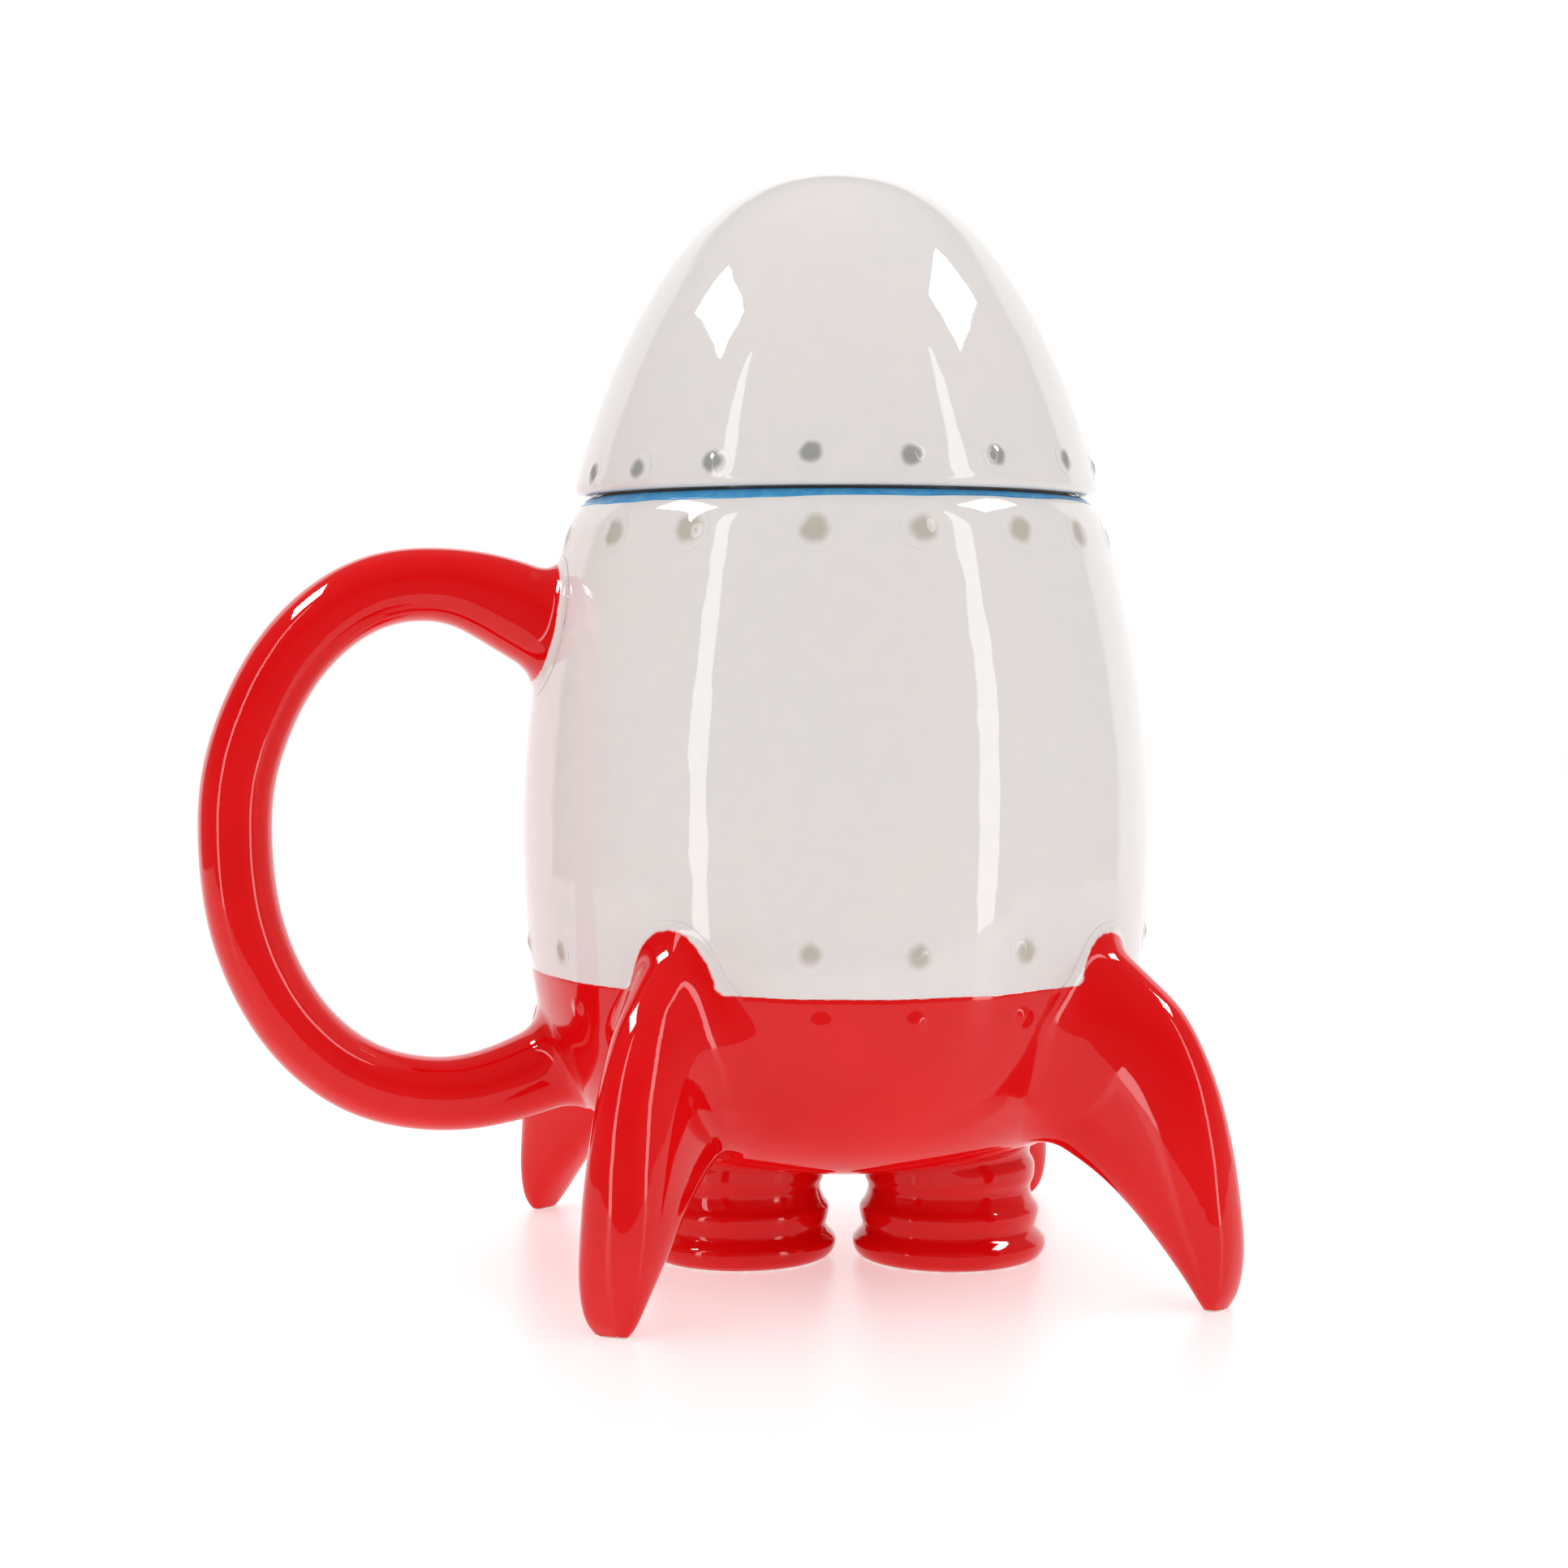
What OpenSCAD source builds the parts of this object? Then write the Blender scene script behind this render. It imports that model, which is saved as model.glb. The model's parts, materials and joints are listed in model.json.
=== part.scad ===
// A ceramic rocket mug: a round cup on four fin legs, with a handle, two mock
// engine nozzles and a nose-cone lid that lifts off and turns in the mouth.
// +Z is up. The origin is on the ground, at the middle of the footprint's box.
// The handle points along -X, and the rocket's own axis stands at axis_x.

/* [Cup] */
// Radius of the cup at its widest
belly_r = 45.4; // [44:0.1:47]
// Height of the widest point above the ground
belly_z = 62; // [58:0.5:66]
// How fast the side draws in above and below the widest point, per mm
side_taper = 0.0034; // [0.0028:0.0001:0.0038]
// Height of the cup's underside above the ground
bowl_z = 15; // [14:0.5:17]
// Height where the side starts to curve under into the bowl
bowl_top_z = 46; // [42:0.5:50]
// Thickness of the cup's wall
wall = 4.5; // [3.5:0.1:5]
// Height of the rim, without its paint
rim_z = 110.2; // [109:0.1:112]
// Rounding of the rim's shoulder
rim_round = 3.4; // [3:0.1:3.6]
// Inside radius of the mouth
mouth_r = 34; // [33.6:0.1:34.2]

/* [Glaze] */
// Thickness of the red glaze on the bowl
red_coat = 0.25; // [0.2:0.05:0.4]
// Height of the top edge of the red glaze
red_z = 43; // [42.5:0.5:44]
// Thickness of the blue glaze on the rim
blue_coat = 0.15; // [0.1:0.05:0.2]
// Step of the rim's shoulder, counted up, where the blue glaze starts
blue_step = 2; // [1:1:4]

/* [Lid] */
// Radius that the lid's ovoid side would have at its foot
lid_r = 38; // [37.5:0.1:38.5]
// Height of the lid's top above the ground
lid_top_z = 157.3; // [150:0.5:165]
// Wall thickness of the lid
lid_wall = 4; // [3.5:0.1:4.5]
// Gap between the lid's lip and the painted rim
lip_gap = 0.1; // [0.05:0.05:0.2]
// Rounding of the lid's outer lip
lip_round = 1.7; // [1.2:0.1:2]
// Gap between the collar and the mouth
collar_gap = 0.4; // [0.3:0.05:0.6]
// Thickness of the collar
collar_wall = 3; // [2.5:0.1:3.5]
// Depth of the collar below the lip
collar_depth = 7.5; // [5:0.5:9]

/* [Rivets] */
// Height of the lid's row
lid_rivet_z = 114.6; // [114:0.1:116]
// Height of the row under the rim
upper_rivet_z = 104.7; // [104:0.1:105.5]
// Height of the row above the red glaze
lower_rivet_z = 48.6; // [48:0.1:50]
// Height of the row in the red glaze
base_rivet_z = 39.6; // [39:0.1:40.5]
// Width of one raised dot
rivet_w = 2.9; // [2.5:0.1:3.2]
// How far a dot stands out
rivet_h = 0.65; // [0.55:0.05:0.75]

/* [Nozzles] */
// Distance of each nozzle from the rocket's axis
nozzle_x = 15.6; // [15.2:0.1:16]
// Height of the nozzle's lower edge above the ground
nozzle_z = 0.9; // [0.5:0.1:1.5]

/* [Fins] */
// Half the thickness of a fin, side to side
fin_half_w = 5.8; // [5.4:0.1:6.2]
// Half the thickness of a fin at its foot
foot_half_w = 2.4; // [2:0.1:3]

/* [Handle] */
// Half the thickness of the handle, inside to outside
handle_half_t = 5.2; // [4.8:0.1:5.6]
// Half the width of the handle, side to side
handle_half_w = 6.4; // [6:0.1:7]
// How much thicker the handle is where it meets the cup
root_flare = 1.35; // [1.2:0.05:1.5]

/* [Hidden] */
turn_fn = 256;
// The rocket's axis, set so that the footprint's box is centred on the origin.
axis_x = 22.5;

white = [0.90, 0.88, 0.86];
red = [0.80, 0.06, 0.07];
blue = [0.24, 0.58, 0.80];
grey = [0.62, 0.63, 0.60];

// Even places for rivets round the rocket, counted from +X, and those that the
// fins and the handle's root take up. The lid stands turned a little.
rivet_places = 16;
fin_places = [2, 6, 10, 14];
handle_place = 8;
lid_turn_offset = 2.5;

// Outer and inner edge of a fin in its own plane, from inside the cup to the foot,
// as distance from the rocket's axis and height, and half the fin's width there.
fin_outer = [[40.5, 54], [48.2, 44.1], [53.6, 39.2], [58.4, 31.5], [60.9, 22.5],
             [61.9, 14.4], [62, 7.8], [61, 2.8], [59.7, 0]];
fin_inner = [[26, 34], [31, 24], [36, 20.5], [42.4, 16.9], [47.4, 12.9],
             [51.2, 8.8], [54.5, 4.4], [56, 1.6], [56.9, 0]];
fin_widths = [fin_half_w, fin_half_w, fin_half_w, fin_half_w, fin_half_w,
              fin_half_w, 0.91 * fin_half_w, 0.72 * fin_half_w, foot_half_w];

// Middle line of the handle: distance from the rocket's axis, and height.
handle_line = [[36, 90], [46, 95.2], [56.4, 97.4], [68, 95.6], [78, 87.4], [84.6, 74.5],
               [86, 62.5], [84.2, 48.5], [78, 36], [68.5, 28], [56.6, 25.5], [46, 27.6], [36, 32]];

// Outline of a nozzle: neck, two ribs, the flare, its rounded edge and a dished end.
nozzle_line = [[0, 18], [11.7, 18], [11.7, 15.5], [12.4, 14.2], [12.4, 12.2], [11.7, 10.6],
               [12.3, 8.8], [13.1, 7.6], [12.9, 6], [12.4, 4.6], [13.4, 3.9], [14.1, 3],
               [14, 1.8], [12.6, nozzle_z], [10.2, nozzle_z], [9, nozzle_z + 1.2],
               [0, nozzle_z + 1.8]];

floor_t = wall + 0.5;
neck_z = rim_z - 11;
mouth_round = 0.8;
// Where the rounded shoulder of the rim starts, how far the side leans in there, and
// how many steps it has.
shoulder_z = rim_z - rim_round + 1;
shoulder_lean = 17;
shoulder_steps = 6;

lip_z = rim_z + blue_coat + lip_gap;
lid_foot_z = 110;
lid_h = lid_top_z - lid_foot_z;
// Exponents that set how full the lid's outline is, upwards and outwards.
lid_rise = 1.22;
lid_swell = 2.38;
collar_r = mouth_r - collar_gap;
collar_top_z = lip_z + 3;
// Running gap between the collar and the foot of the dome.
fit_gap = 0.05;

// --- Outlines ---------------------------------------------------------------

// Heights of the outline's points, closer together where the bowl turns under.
function bowl_heights(floor_z) =
    [for (i = [13:-1:1]) bowl_top_z - (bowl_top_z - floor_z) * sqrt(sin(90 * i / 14))];
function side_heights() =
    [for (i = [0:13]) bowl_top_z + (shoulder_z - bowl_top_z) * i / 14];

// Radius of the cup at height z, for a surface d outside the ceramic that has its
// lowest point at floor_z.
function cup_r(z, d, floor_z) =
    let (down = max(0, bowl_top_z - z) / (bowl_top_z - floor_z))
    (belly_r + d - side_taper * pow(z - belly_z, 2)) * pow(max(0, 1 - pow(down, 4)), 1 / 4);

// The outline of that surface from height z0 up to height z1.
function cup_line(z0, z1, d, floor_z) = concat(
    [[cup_r(z0, d, floor_z), z0]],
    [for (z = concat(bowl_heights(floor_z), side_heights()))
        if (z > z0 + 0.3 && z < z1 - 0.3) [cup_r(z, d, floor_z), z]],
    [[cup_r(z1, d, floor_z), z1]]);

// Points on an arc of a circle, from angle a0 to angle a1.
function arc(centre, r, a0, a1, steps = 6) =
    [for (i = [0:steps]) let (a = a0 + (a1 - a0) * i / steps) centre + r * [cos(a), sin(a)]];

function reversed(list) = [for (i = [len(list) - 1:-1:0]) list[i]];

// The rim's shoulder, for a surface d outside the ceramic, from one of its steps to the top.
function shoulder_line(d, first = 0) =
    arc([cup_r(shoulder_z, 0, bowl_z) - rim_round * cos(shoulder_lean), rim_z - rim_round],
        rim_round + d, shoulder_lean + (90 - shoulder_lean) * first / shoulder_steps, 90,
        shoulder_steps - first);

// The ovoid of the lid from height z0 up to its top, for a surface d inside it.
function lid_line(z0, d, steps = 16) =
    let (h = lid_h - d, first = asin(pow((z0 - lid_foot_z) / h, lid_rise / 2)))
    [for (i = [0:steps])
        let (turn = first + (90 - first) * i / steps)
        [(lid_r - d) * pow(max(cos(turn), 0), 2 / lid_swell),
         lid_foot_z + h * pow(sin(turn), 2 / lid_rise)]];

function lid_r_at(z, d) =
    (lid_r - d) * pow(1 - pow((z - lid_foot_z) / (lid_h - d), lid_rise), 1 / lid_swell);

module turned(points) {
    translate([axis_x, 0, 0])
        rotate_extrude($fn = turn_fn)
            polygon(points);
}

// The cup with its red glaze and no hollow, to cut what is stuck onto it.
module cup_envelope() {
    turned(concat(cup_line(bowl_z - red_coat, red_z, red_coat, bowl_z - red_coat),
                  cup_line(red_z, shoulder_z, 0, bowl_z),
                  [[0, shoulder_z]]));
}

// --- Sweeps -----------------------------------------------------------------

function pick(list, i) = list[max(0, min(len(list) - 1, i))];

// A smooth curve through the values of a list, at position t along it.
function along(list, t) =
    let (i = min(floor(t), len(list) - 2),
         u = t - i,
         a = pick(list, i - 1),
         b = pick(list, i),
         c = pick(list, i + 1),
         d = pick(list, i + 2))
    0.5 * (2 * b + (c - a) * u + (2 * a - 5 * b + 4 * c - d) * u * u
           + (3 * b - a - 3 * c + d) * u * u * u);

// A rounded section: half sizes a and b along the directions p and q.
function section(centre, p, q, a, b, fullness, points) =
    [for (j = [0:points - 1])
        let (turn = 360 * j / points, x = cos(turn), y = sin(turn))
        centre + p * a * sign(x) * pow(abs(x), 2 / fullness)
               + q * b * sign(y) * pow(abs(y), 2 / fullness)];

// A closed skin over a list of sections that all have the same number of points.
module skin(rings) {
    n = len(rings[0]);
    last = (len(rings) - 1) * n;
    sides = [for (i = [0:len(rings) - 2], j = [0:n - 1])
        let (a = i * n + j, b = i * n + (j + 1) % n)
        each [[a, b, a + n], [b, b + n, a + n]]];
    start = [[for (j = [n - 1:-1:0]) j]];
    end = [[for (j = [0:n - 1]) last + j]];
    polyhedron(concat([for (r = rings) each r]), concat(start, sides, end), convexity = 6);
}

// --- Sub-parts --------------------------------------------------------------

module cup_body() {
    inside = cup_line(bowl_z + floor_t, neck_z, -wall, bowl_z + floor_t);
    mouth = concat([[mouth_r, rim_z - 4]],
                   arc([mouth_r + mouth_round, rim_z - mouth_round], mouth_round, 180, 90, 3));
    outside = concat(cup_line(bowl_z, shoulder_z, 0, bowl_z), shoulder_line(0));
    color(white)
        turned(concat(inside, mouth, reversed(outside)));
}

module base_coat() {
    color(red)
        turned(concat(cup_line(bowl_z - red_coat, red_z, red_coat, bowl_z - red_coat),
                      reversed(cup_line(bowl_z, red_z, 0, bowl_z))));
}

module rim_band() {
    color(blue)
        turned(concat(shoulder_line(blue_coat, blue_step),
                      reversed(shoulder_line(0, blue_step))));
}

// The handle: one oval bar swept along its middle line, thicker at both roots.
module handle() {
    steps = 3 * (len(handle_line) - 1);
    rings = [for (i = [0:steps])
        let (t = i / 3,
             here = along(handle_line, t),
             ahead = along(handle_line, min(t + 0.01, len(handle_line) - 1)),
             behind = along(handle_line, max(t - 0.01, 0)),
             run = (ahead - behind) / norm(ahead - behind),
             near_root = pow(abs(2 * i / steps - 1), 6),
             flare = 1 + (root_flare - 1) * near_root)
        section([here[0], 0, here[1]], [-run[1], 0, run[0]], [0, 1, 0],
                handle_half_t * flare, handle_half_w * flare, 2.2, 20)];
    color(red)
        difference() {
            translate([axis_x, 0, 0])
                rotate([0, 0, 180])
                    skin(rings);
            cup_envelope();
        }
}

// One fin leg: a curved blade between its outer and inner edges, flat at the foot.
module fin(angle) {
    steps = 3 * (len(fin_outer) - 1);
    rings = [for (i = [0:steps])
        let (t = i / 3,
             outer = along(fin_outer, t),
             inner = along(fin_inner, t),
             middle = (outer + inner) / 2,
             out = (outer - inner) / norm(outer - inner))
        section([middle[0], 0, middle[1]], [out[0], 0, out[1]], [0, 1, 0],
                norm(outer - inner) / 2, along(fin_widths, t), 2.5, 20)];
    color(red)
        difference() {
            translate([axis_x, 0, 0])
                rotate([0, 0, angle])
                    skin(rings);
            cup_envelope();
        }
}

module fin_front_left() fin(225);
module fin_front_right() fin(315);
module fin_back_left() fin(135);
module fin_back_right() fin(45);

module nozzle(side) {
    color(red)
        difference() {
            translate([axis_x + side * nozzle_x, 0, 0])
                rotate_extrude($fn = turn_fn)
                    polygon(nozzle_line);
            cup_envelope();
        }
}

module nozzle_left() nozzle(-1);
module nozzle_right() nozzle(1);

// A row of raised dots at height z on a surface of radius r, in the given places.
module rivet_row(r, z, places, offset = 0) {
    ball_r = (rivet_w * rivet_w / 4 + rivet_h * rivet_h) / (2 * rivet_h);
    translate([axis_x, 0, z])
        for (place = places)
            rotate([0, 0, place * 360 / rivet_places + offset])
                translate([r + rivet_h - ball_r, 0, 0])
                    rotate([0, 90, 0])
                        sphere(r = ball_r, $fn = 32);
}

function free_places(taken) =
    [for (i = [0:rivet_places - 1]) if (len(search(i, taken)) == 0) i];

module upper_rivets() {
    color(grey)
        difference() {
            rivet_row(cup_r(upper_rivet_z, 0, bowl_z), upper_rivet_z, free_places([]));
            cup_envelope();
        }
}

module lower_rivets() {
    color(grey)
        difference() {
            rivet_row(cup_r(lower_rivet_z, 0, bowl_z), lower_rivet_z, free_places(fin_places));
            cup_envelope();
        }
}

module base_rivets() {
    color(red)
        difference() {
            rivet_row(cup_r(base_rivet_z, red_coat, bowl_z - red_coat), base_rivet_z,
                      free_places(concat(fin_places, [handle_place])));
            cup_envelope();
        }
}

// The ring under the lid that drops into the mouth and keeps the lid in place.
module lid_collar() {
    foot_z = lip_z - collar_depth;
    inner_r = collar_r - collar_wall;
    color(white)
        turned(concat(arc([inner_r + 1, foot_z + 1], 1, 180, 270, 3),
                      arc([collar_r - 1, foot_z + 1], 1, 270, 360, 3),
                      [[collar_r, collar_top_z], [inner_r, collar_top_z]]));
}

module lid_dome() {
    hollow_z = collar_top_z + 1.5;
    lip_r = lid_r_at(lip_z + lip_round, 0) - lip_round;
    color(white)
        turned(concat(reversed(lid_line(hollow_z, lid_wall)),
                      [[collar_r + fit_gap, collar_top_z], [collar_r + fit_gap, lip_z]],
                      arc([lip_r, lip_z + lip_round], lip_round, 270, 360),
                      lid_line(lip_z + lip_round + 1, 0)));
}

module lid_rivets() {
    color(grey)
        difference() {
            rivet_row(lid_r_at(lid_rivet_z, 0), lid_rivet_z, free_places([]), lid_turn_offset);
            turned(concat([[0, lip_z], [lid_r_at(lip_z, 0), lip_z]], lid_line(lip_z + lip_round + 1, 0)));
        }
}

cup_body();
base_coat();
rim_band();
handle();
fin_front_left();
fin_front_right();
fin_back_left();
fin_back_right();
nozzle_left();
nozzle_right();
upper_rivets();
lower_rivets();
base_rivets();
lid_collar();
lid_dome();
lid_rivets();
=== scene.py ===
"""A glazed ceramic rocket mug with a lift-off lid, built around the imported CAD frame.

Shapes are worked out in millimetres about the rocket's own axis, and new_piece() turns
them into metres in the frame. Parts that are luted onto the cup (the fins, the handle
and the nozzles) are distance fields, blended into the cup's outside and meshed.
"""

import json
import math

import bpy
import numpy as np
import openvdb
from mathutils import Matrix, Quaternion, Vector
from mathutils.geometry import delaunay_2d_cdt

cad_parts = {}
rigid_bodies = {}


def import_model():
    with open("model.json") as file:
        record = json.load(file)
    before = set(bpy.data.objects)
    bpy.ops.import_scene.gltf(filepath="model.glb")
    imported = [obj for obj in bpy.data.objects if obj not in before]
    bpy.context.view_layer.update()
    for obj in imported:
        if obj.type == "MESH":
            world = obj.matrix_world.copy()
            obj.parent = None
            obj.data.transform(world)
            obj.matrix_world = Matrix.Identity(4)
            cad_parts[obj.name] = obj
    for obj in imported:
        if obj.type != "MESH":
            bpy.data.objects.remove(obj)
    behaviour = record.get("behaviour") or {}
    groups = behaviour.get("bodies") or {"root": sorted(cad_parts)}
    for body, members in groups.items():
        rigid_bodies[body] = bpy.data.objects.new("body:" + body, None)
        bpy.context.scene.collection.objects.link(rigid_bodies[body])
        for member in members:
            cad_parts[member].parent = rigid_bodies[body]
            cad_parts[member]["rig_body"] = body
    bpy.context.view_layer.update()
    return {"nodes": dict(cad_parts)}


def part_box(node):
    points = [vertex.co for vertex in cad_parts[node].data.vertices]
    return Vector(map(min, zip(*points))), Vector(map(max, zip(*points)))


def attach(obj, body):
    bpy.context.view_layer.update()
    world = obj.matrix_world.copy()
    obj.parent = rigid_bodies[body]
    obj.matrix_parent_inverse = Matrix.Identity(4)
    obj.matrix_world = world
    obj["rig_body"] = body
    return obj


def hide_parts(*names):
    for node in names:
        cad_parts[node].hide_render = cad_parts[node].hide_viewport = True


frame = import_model()

# --- Sizes, in millimetres ----------------------------------------------------

MM = 0.001

lid_box_low, lid_box_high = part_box("lid_dome")
AXIS_X = round((lid_box_low.x + lid_box_high.x) / 2 / MM, 1)
RIM_Z = round(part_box("cup_body")[1].z / MM, 2)
LIP_Z = round(lid_box_low.z / MM, 2)
LID_SETTLE = 0.5  # the fired lid's top is this much lower than the CAD's
LID_TOP_Z = round(lid_box_high.z / MM, 2) - LID_SETTLE
COLLAR_LOW_Z = round(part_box("lid_collar")[0].z / MM, 2)

# The cup: its widest point, how fast its side draws in, and its rounded bowl.
BELLY_R, BELLY_Z, SIDE_TAPER = 45.4, 62.0, 0.0034
BOWL_Z, BOWL_TOP_Z = 15.0, 46.0
WALL, FLOOR_T = 4.5, 5.0
NECK_Z = RIM_Z - 11
MOUTH_R, MOUTH_ROUND = 34.0, 0.8
# The rim's shoulder: the side's lean where it starts, then a wide arc and a tight one,
# each by its radius and the lean it ends at.
SHOULDER_LEAN = math.radians(16.7)
SHOULDER = [(10, math.radians(45)), (2.1, math.radians(88))]

# The lid: an ovoid with a rounded lip, and the collar under it.
LID_R, LID_FOOT_Z, LID_RISE, LID_SWELL, LID_WALL = 38.0, 110.0, 1.22, 2.38, 4.0
LIP_ROUND, LIP_LEAN = 1.2, math.radians(12)
COLLAR_R, COLLAR_WALL, COLLAR_TOP_Z = 33.6, 3.0, LIP_Z + 3

# Glaze: how far a coloured coat stands out, and the heights of its painted edges.
COAT, RED_Z, BLUE_Z = 0.05, 43.0, 109.3

# Fins: outer and inner edge in a fin's own plane, as distance from the axis and
# height, and half the fin's width there. The feet reach just past the ground, which
# cuts them flat.
FIN_OUTER = [(41, 54), (50.2, 45), (55.4, 39.4), (59.2, 31.5), (61.2, 22.5),
             (61.9, 14.4), (62.1, 7.8), (61.4, 2.4), (59.9, -0.6)]
FIN_INNER = [(26, 34), (31, 24), (36, 20.5), (42.4, 16.9), (47.4, 12.9),
             (51.4, 8.8), (55.3, 4.4), (57.8, 1.2), (58.9, -0.6)]
FIN_HALF_W = [6.6, 6.5, 6.2, 5.9, 5.7, 5.5, 5.0, 3.8, 1.8]
# Where each fin was really set: its angle, how much farther out than the lines above
# its foot reaches, and how much lower it begins.
FINS = {"fin_back_right": (46.6, -0.8, 0), "fin_back_left": (129, -0.8, 0),
        "fin_front_left": (228, -0.3, 0.4), "fin_front_right": (313.4, 2.6, 2.4)}

# Handle: its middle line, as distance from the axis towards -X and height.
HANDLE_LINE = [(36, 88.6), (46, 94.3), (56.4, 97.8), (68, 96.3), (78.2, 87.8), (84.6, 74.5),
               (86, 62.5), (84.2, 48.5), (78, 36), (68.5, 28), (56.6, 25.5), (46, 27.6), (36, 32)]
HANDLE_HALF_T = [7.2, 6.7, 5.3, 5.2, 5.2, 5.2, 5.2, 5.2, 5.2, 5.2, 5.2, 5.7, 6.6]
HANDLE_HALF_W = [8.2, 7.2, 6.5, 6.4, 6.4, 6.4, 6.4, 6.4, 6.4, 6.4, 6.5, 6.9, 7.6]
HANDLE_ROOT_Z, HANDLE_MIDDLE_Z = 92, 60

# Nozzles: distance from the axis and angle, and the outline from the neck down over
# two ribs to the flare and its dished end.
NOZZLES = {"nozzle_left": (14.0, 167), "nozzle_right": (16.6, -13)}
NOZZLE_LINE = [(11.7, 18), (11.7, 15.5), (12.4, 14.2), (12.4, 12.2), (11.8, 10.6), (12.3, 8.8),
               (13.1, 7.6), (12.9, 6), (12.6, 4.7), (13.4, 3.8), (14.1, 2.8), (13.9, 1.5),
               (13.1, 0.5), (11.6, 0.1), (9.6, 1.2), (5, 2.2), (0, 2.4)]

# Heights of the rows of dots, and the angles of each row's dots in degrees, as the hand
# set them.
LID_DOTS_Z, UPPER_DOTS_Z, LOWER_DOTS_Z, BASE_DOTS_Z = 114.6, 104.7, 48.6, 39.6
LID_DOTS = [4, 27, 48, 71, 93, 115, 138, 159, 192, 211, 231, 252, 273, 293, 316, 338]
UPPER_DOTS = [1, 24, 46, 67, 91, 112, 136, 158, 181, 206, 227, 253, 274, 296, 316, 337]
LOWER_DOTS = [1, 22, 68, 91, 112, 158, 179, 198.6, 252.5, 271, 291.5, 338]
BASE_DOTS = [1, 23, 67, 90, 113, 157, 203, 254.5, 271, 292, 337]

# The "paint" attribute is the distance in mm to a painted edge, negative in the paint.
ALL_PAINT = -5.0
# How deep in the clay the luted parts and the dots are closed.
ROOT_DEPTH, DOT_DEPTH = 0.7, 0.35


# --- Curves -------------------------------------------------------------------

def along(values, t):
    """A smooth curve through a list of values, at positions t along the list."""
    values = np.asarray(values, float)
    i = np.minimum(np.floor(t).astype(int), len(values) - 2)
    u = (t - i).reshape(-1, *[1] * (values.ndim - 1))
    a, b, c, d = (values[np.clip(i + k, 0, len(values) - 1)] for k in (-1, 0, 1, 2))
    return 0.5 * (2 * b + (c - a) * u + (2 * a - 5 * b + 4 * c - d) * u**2
                  + (3 * b - a - 3 * c + d) * u**3)


def eased(line, passes):
    """A sampled line with its small kinks smoothed out, and its ends kept."""
    line = np.array(line, float)
    for _ in range(passes):
        line[1:-1] = (line[:-2] + 2 * line[1:-1] + line[2:]) / 4
    return line


def evenly(line, step):
    """A line through the same places with points about step apart."""
    run = np.concatenate([[0], np.cumsum(np.linalg.norm(np.diff(line, axis=0), axis=1))])
    at = np.linspace(0, run[-1], max(2, round(run[-1] / step) + 1))
    return np.stack([np.interp(at, run, line[:, i]) for i in range(line.shape[1])], 1)


def arc(centre, radius, start, end, steps):
    """Points along part of a circle."""
    turn = np.linspace(start, end, steps)
    return np.array(centre) + radius * np.stack([np.cos(turn), np.sin(turn)], 1)


def smooth_step(low, high, x):
    """Goes smoothly from 0 at low to 1 at high."""
    u = np.clip((x - low) / (high - low), 0, 1)
    return u * u * (3 - 2 * u)


def wave(turn, seed, lowest=2, count=7):
    """A hand-drawn waver round the rocket, about -1 to 1, that closes on itself."""
    rng = np.random.default_rng(seed)
    orders = lowest + np.arange(count)
    sizes = rng.uniform(0.4, 1, count) / np.sqrt(orders)
    phases = rng.uniform(0, 2 * np.pi, count)
    total = sum(s * np.sin(n * turn + p) for n, s, p in zip(orders, sizes, phases))
    return total / sizes.sum() * 1.8


# --- The cup's and the lid's outlines -----------------------------------------

def cup_radius(z, out, floor_z):
    """The radius at height z of a cup that far outside the real one, with its own floor."""
    down = np.maximum(0, BOWL_TOP_Z - z) / (BOWL_TOP_Z - floor_z)
    side = BELLY_R + out - SIDE_TAPER * (z - BELLY_Z) ** 2
    return side * np.maximum(0, 1 - down**4) ** 0.25


def cup_side(floor_z, top_z, out):
    """The outline of the bowl and the side, from the bowl's middle up to top_z."""
    turn = np.linspace(np.pi / 2, 0, 400)
    bowl = BOWL_TOP_Z - (BOWL_TOP_Z - floor_z) * np.sqrt(np.sin(turn))
    side = np.linspace(BOWL_TOP_Z, top_z, 300)[1:]
    z = np.concatenate([bowl, side])
    return np.stack([cup_radius(z, out, floor_z), z], 1)


def shoulder_arcs():
    """The rim's shoulder, from its own start at (0, 0)."""
    line, lean = np.zeros((1, 2)), SHOULDER_LEAN
    for radius, end in SHOULDER:
        centre = line[-1] - radius * np.array([math.cos(lean), math.sin(lean)])
        line = np.concatenate([line, arc(centre, radius, lean, end, 40)[1:]])
        lean = end
    return line


def cup_outline():
    """The cup's outside, over the rim's shoulder to the mouth's edge."""
    shoulder = shoulder_arcs()
    start_z = RIM_Z - shoulder[-1, 1]
    shoulder = shoulder + [cup_radius(start_z, 0, BOWL_Z), start_z]
    mouth_edge = [(MOUTH_R + MOUTH_ROUND, RIM_Z)]
    return np.concatenate([cup_side(BOWL_Z, start_z, 0), shoulder[1:], mouth_edge])


def cup_inside():
    """The cup's inside, from the mouth's edge down to the floor's middle."""
    edge = arc((MOUTH_R + MOUTH_ROUND, RIM_Z - MOUTH_ROUND), MOUTH_ROUND, np.pi / 2, np.pi, 10)
    hollow = cup_side(BOWL_Z + FLOOR_T, NECK_Z, -WALL)[::-1]
    neck = evenly(np.array([edge[-1], (MOUTH_R, RIM_Z - 4), hollow[0], hollow[20]]), 0.5)
    return np.concatenate([edge[1:], eased(neck, 12)[1:-1], hollow[20:]])


def lid_radius(z):
    climb = (z - LID_FOOT_Z) / (LID_TOP_Z - LID_FOOT_Z)
    return LID_R * (1 - climb**LID_RISE) ** (1 / LID_SWELL)


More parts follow.
